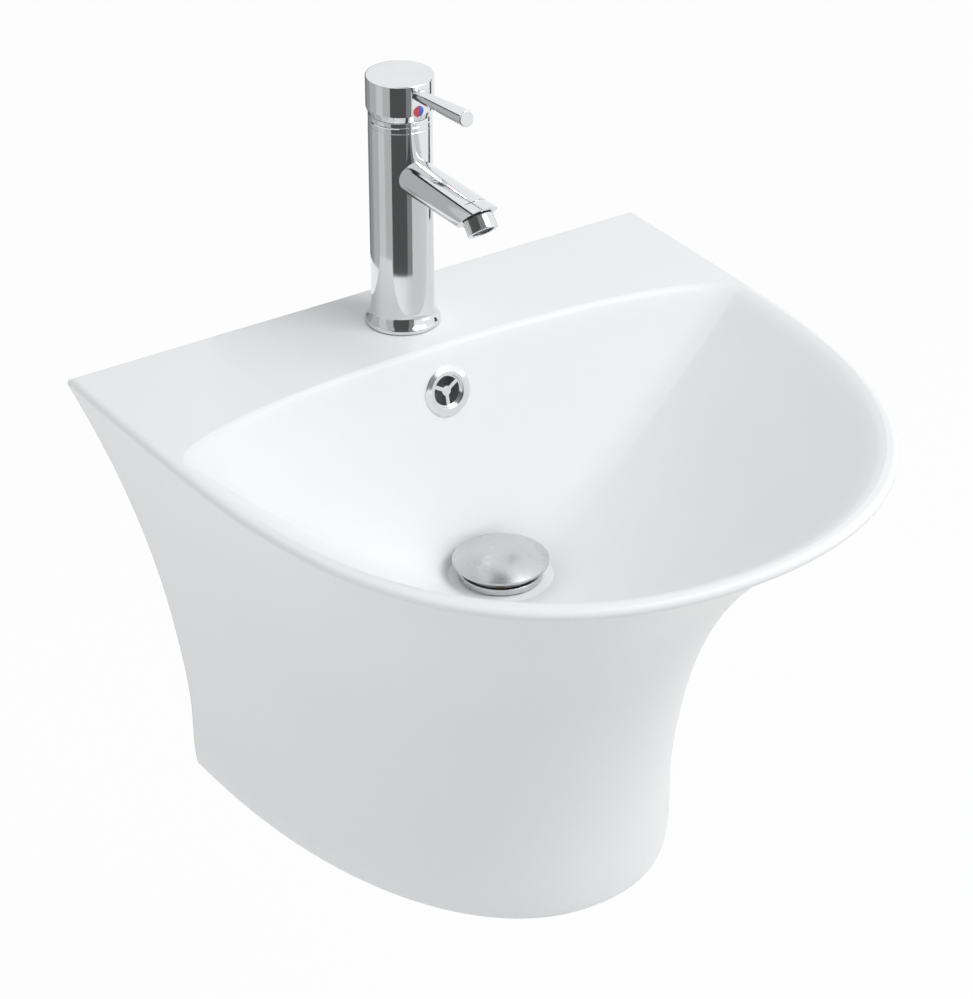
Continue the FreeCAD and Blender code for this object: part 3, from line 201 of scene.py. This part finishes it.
def glaze():
    """White glaze with a faint orange-peel.

    The wall face and the foot's underside are bare biscuit, and the overflow duct is painted dark grey:
    painted shade for the deep shadow inside it.
    """
    surface = new_surface("white_glaze")
    x, y, z = surface.axes()
    edge = surface.noise(140) * BISCUIT_WANDER
    bare = ((y + edge) > WALL_Y - BISCUIT_REACH) + ((z - edge) < FOOT_Z + BISCUIT_REACH)
    depth = (y - OVERFLOW.y) * math.cos(OVERFLOW_TILT) - (z - OVERFLOW.z) * math.sin(OVERFLOW_TILT)
    across = x * x < DUCT_HALF_WIDTH ** 2
    duct = (depth > DUCT_FRONT) * (depth < DUCT_BACK) * across * (z < DUCT_TOP)
    grain = surface.noise(900, 4)
    white = surface.mixed(surface.noise(9, 2), (0.83, 0.835, 0.84, 1), (0.855, 0.857, 0.855, 1))
    biscuit = surface.mixed(grain, (0.66, 0.63, 0.57, 1), (0.76, 0.73, 0.68, 1))
    # Painted shade: the overflow duct gets a dark grey that stands in for the deep shadow inside it
    duct_painted_shade = surface.mixed(grain, (0.17, 0.17, 0.17, 1), (0.25, 0.248, 0.244, 1))
    colour = surface.mixed(duct, surface.mixed(bare, white, biscuit), duct_painted_shade)
    rough = 0.3 + surface.noise(30) * 0.05 + bare * 0.5 + duct * 0.5
    peel = surface.noise(45, 1) + grain * bare * 0.6
    return surface.finish(Base_Color=colour, Roughness=rough, IOR=1.5, Specular_IOR_Level=0.2,
                          Normal=surface.bumped(peel, 0.0002, 0.35))


def chrome(name="bright_chrome", dark=0.74, pale=0.8, dull=0.035, smudge=0.06):
    """Plating with the faint smears that handling leaves."""
    surface = new_surface(name)
    smear = surface.noise(60, 4, (1, 1, 0.35))
    fine = surface.noise(1500, 2)
    colour = surface.mixed(smear, grey(dark, -0.03), grey(pale, -0.025))
    rough = dull + smear * smudge + fine * 0.015
    return surface.finish(Base_Color=colour, Metallic=1.0, Roughness=rough,
                          Normal=surface.bumped(surface.noise(25, 1), 0.00012, 0.3))


def rubber():
    """Black seals with a little dust."""
    surface = new_surface("black_rubber")
    dust = surface.noise(220, 5)
    colour = surface.mixed(dust, (0.018, 0.018, 0.019, 1), (0.045, 0.045, 0.046, 1))
    return surface.finish(Base_Color=colour, Roughness=0.55 + dust * 0.25,
                          Normal=surface.bumped(dust, 0.0001, 0.5))


def moulded(name, dark, pale, shine=0.32):
    """Moulded plastic with a fine spark texture and slow tone changes."""
    surface = new_surface(name)
    tone = surface.noise(18, 3)
    spark = surface.noise(2600, 2)
    return surface.finish(Base_Color=surface.mixed(tone, dark, pale), Roughness=shine + spark * 0.14,
                          Normal=surface.bumped(spark, 0.00004, 0.5))


def turned_metal(name, dark, pale, rough, pitch=None):
    """Machined metal: fine lathe lines around Z, or a thread of the given pitch."""
    surface = new_surface(name)
    tone = surface.noise(90, 4)
    lines = surface.noise(40, 2, (0.2, 0.2, 60))
    height = lines * 0.05
    depth = 0.0001
    if pitch:
        x, y, z = surface.axes()
        height = surface.sine(z * (2 * math.pi / pitch)) * 0.5 + 0.5
        depth = pitch * 0.45
    return surface.finish(Base_Color=surface.mixed(tone, dark, pale), Metallic=1.0,
                          Roughness=rough + lines * 0.12, Normal=surface.bumped(height, depth))


def two_colour_button():
    """The temperature mark: red on the hot side, blue on the cold side."""
    surface = new_surface("hot_and_cold_mark")
    x, y, z = surface.axes()
    fleck = surface.noise(2000, 2)
    red = surface.mixed(fleck, (0.55, 0.02, 0.02, 1), (0.68, 0.04, 0.035, 1))
    blue = surface.mixed(fleck, (0.02, 0.05, 0.42, 1), (0.03, 0.08, 0.55, 1))
    return surface.finish(Base_Color=surface.mixed(x > 0.0, red, blue), Roughness=0.18 + fleck * 0.08,
                          Coat_Weight=0.6, Coat_Roughness=0.05)


def screen_mesh():
    """The aerator's screen: small square openings between plastic bars, square to the slanted spout end."""
    surface = new_surface("aerator_screen_mesh")
    x, y, z = surface.axes()
    turns = 2 * math.pi / SCREEN_PITCH
    across = surface.sine(x * turns)
    along = surface.sine((y * math.cos(SPOUT_SLANT) - z * math.sin(SPOUT_SLANT)) * turns)
    bars = surface.node("ShaderNodeMath", {"operation": "MAXIMUM"}, {0: across, 1: along})
    web = bars * 0.5 + 0.5
    colour = surface.mixed(web, (0.008, 0.008, 0.009, 1), (0.07, 0.07, 0.075, 1))
    return surface.finish(Base_Color=colour, Roughness=0.5 - web * 0.15,
                          Normal=surface.bumped(web, 0.0005))


def paint(material, *names):
    for name in names:
        mesh = nodes[name].data
        mesh.materials.clear()
        mesh.materials.append(material)


def paint_part():
    """Give every CAD piece its finish."""
    paint(glaze(), "basin_body")
    paint(chrome(), "tap_body", "tap_spout", "aerator_housing", "tap_collar", "handle_cap", "lever_pin")
    paint(chrome("overflow_chrome", 0.86, 0.92, 0.12), "overflow_bezel", "overflow_grille")
    paint(chrome("waste_chrome", 0.58, 0.64, 0.22, 0.08), "waste_body", "waste_cap")
    paint(two_colour_button(), "temperature_indicator")
    paint(screen_mesh(), "aerator_screen")
    paint(rubber(), "waste_flange_seal", "waste_under_seal", "waste_cap_seal", "trap_cup_seal",
          "trap_inlet_seal", "trap_outlet_seal", "tap_base_seal", "aerator_washer", "cartridge_seals",
          "tap_horseshoe_gasket")
    white = moulded("white_moulding", (0.72, 0.72, 0.7, 1), (0.8, 0.8, 0.785, 1))
    paint(white, "waste_slip_washer", "popup_cartridge", "trap_body", "trap_dip_tube", "trap_cup",
          "trap_inlet_nut", "trap_outlet_pipe", "trap_outlet_nut", "cartridge_housing")
    dark = moulded("dark_moulding", (0.03, 0.03, 0.032, 1), (0.05, 0.05, 0.052, 1))
    paint(dark, "cartridge_carrier")
    brass = turned_metal("bare_brass", (0.55, 0.38, 0.14, 1), (0.66, 0.48, 0.2, 1), 0.24)
    paint(brass, "waste_back_nut", "popup_plunger", "cartridge_nut", "tap_stud_nut")
    steel = turned_metal("bright_steel", (0.5, 0.5, 0.51, 1), (0.6, 0.6, 0.61, 1), 0.22)
    paint(steel, "popup_spring", "cartridge_pivot_pin", "handle_grub_screw", "lever_stem",
          "tap_horseshoe_washer")
    thread = turned_metal("threaded_steel", (0.42, 0.42, 0.43, 1), (0.55, 0.55, 0.56, 1), 0.28, STUD_PITCH)
    paint(thread, "tap_stud")
    discs = moulded("lapped_disc", (0.76, 0.73, 0.66, 1), (0.82, 0.8, 0.74, 1), 0.15)
    paint(discs, "cartridge_fixed_disc", "cartridge_moving_disc")


def stage_mesh(name, corners, faces):
    """A sheet that belongs to the studio and not to the part."""
    mesh = bpy.data.meshes.new(name)
    mesh.from_pydata(corners, [], faces)
    sheet = bpy.data.objects.new(name, mesh)
    bpy.context.scene.collection.objects.link(sheet)
    return sheet


def flat_sheet(name, at, half):
    """A level square of the studio, round its middle."""
    corners = [(at[0] + x * half, at[1] + y * half, at[2]) for x, y in ((-1, -1), (1, -1), (1, 1), (-1, 1))]
    return stage_mesh(name, corners, [(0, 1, 2, 3)])


def aim(thing, target):
    """Turn a lamp or camera, which looks along its -Z, towards a point."""
    thing.rotation_euler = (Vector(target) - thing.location).to_track_quat("-Z", "Y").to_euler()


def seen_directly(surface):
    """1 for rays from the camera, from mirrors and through glass, 0 for those that light the object."""
    camera_ray, mirror_ray, glass_ray = surface.light_path("Is Camera Ray", "Is Glossy Ray",
                                                           "Is Transmission Ray")
    return camera_ray + mirror_ray + glass_ray


def pale_floor():
    """A white floor under the basin that keeps a soft shadow."""
    floor = flat_sheet("floor", (0, 0, FLOOR_Z), FLOOR_REACH)
    surface = new_surface("floor_white")
    matt = surface.node("ShaderNodeBsdfDiffuse", inputs={"Color": grey(0.82)})
    white = surface.node("ShaderNodeEmission", inputs={"Color": grey(1.0), "Strength": 1.0})
    share = seen_directly(surface) * FLOOR_WHITENESS
    shader = surface.node("ShaderNodeMixShader", inputs={0: share, 1: matt, 2: white})
    floor.data.materials.append(surface.close(shader))


def studio_world():
    """Even light all round; white where it is seen directly."""
    world = bpy.data.worlds.new("studio")
    bpy.context.scene.world = world
    surface = Surface(world)
    pale = {"Color": (0.97, 0.985, 1, 1), "Strength": WORLD_STRENGTH}
    soft = surface.node("ShaderNodeBackground", inputs=pale)
    white = surface.node("ShaderNodeBackground", inputs={"Color": grey(1.0), "Strength": 1.0})
    shader = surface.node("ShaderNodeMixShader", inputs={0: seen_directly(surface), 1: soft, 2: white})
    surface.node("ShaderNodeOutputWorld", inputs={"Surface": shader})


def softbox(name, at, width, height, watts):
    """A rectangular lamp that faces the basin."""
    lamp = bpy.data.lights.new(name, "AREA")
    lamp.shape = "RECTANGLE"
    lamp.size = width
    lamp.size_y = height
    lamp.energy = watts
    thing = bpy.data.objects.new(name, lamp)
    bpy.context.scene.collection.objects.link(thing)
    thing.location = at
    aim(thing, LAMPS_AIM_AT)


def mirrored_only(screen, tone):
    """Give a screen an even grey that only mirrors see.

    Light that a mirror throws from it on the glaze stays white.
    """
    surface = new_surface(screen.name)
    scattered = surface.light_path("Diffuse Depth")[0] > 0.5
    colour = surface.mixed(scattered, grey(tone), grey(1.0))
    shader = surface.node("ShaderNodeEmission", inputs={"Color": colour, "Strength": 1.0})
    screen.data.materials.append(surface.close(shader))
    screen.visible_camera = False
    screen.visible_diffuse = False
    screen.visible_shadow = False
    screen.visible_transmission = False


def studio_flag(name, tone, start, stop, low, high):
    """An upright curved screen round the tap, like a studio's grey and black flags.

    It runs from start to stop degrees, counted from +X round the tap, between two heights.
    """
    steps = max(2, round((stop - start) / FLAG_STEP))
    ring = []
    for step in range(steps + 1):
        turn = math.radians(start + (stop - start) * step / steps)
        ring.append((FLAG_RADIUS * math.cos(turn), TAP_Y + FLAG_RADIUS * math.sin(turn)))
    corners = [(x, y, z) for z in (low, high) for x, y in ring]
    count = len(ring)
    faces = [(i, i + 1, count + i + 1, count + i) for i in range(steps)]
    mirrored_only(stage_mesh(name, corners, faces), tone)


def studio_flags():
    """Grey to the tap's left and behind it, black towards the camera, a thin black line to its right."""
    for name, shape in FLAGS.items():
        studio_flag(name, *shape)
    mirrored_only(flat_sheet("flag_overhead", OVERHEAD_MIDDLE, OVERHEAD_HALF), OVERHEAD_TONE)


def photo_camera():
    """The camera at the photograph's viewing angle."""
    lens = bpy.data.cameras.new("photo_camera")
    lens.lens = LENS_MM
    lens.sensor_width = SENSOR_MM
    thing = bpy.data.objects.new("photo_camera", lens)
    bpy.context.scene.collection.objects.link(thing)
    thing.location = CAMERA_AT
    aim(thing, LOOKS_AT)
    bpy.context.scene.camera = thing


paint_part()
pale_floor()
studio_world()
for name, shape in SOFTBOXES.items():
    softbox(name, *shape)
studio_flags()
photo_camera()
bpy.context.scene.view_settings.view_transform = "Standard"
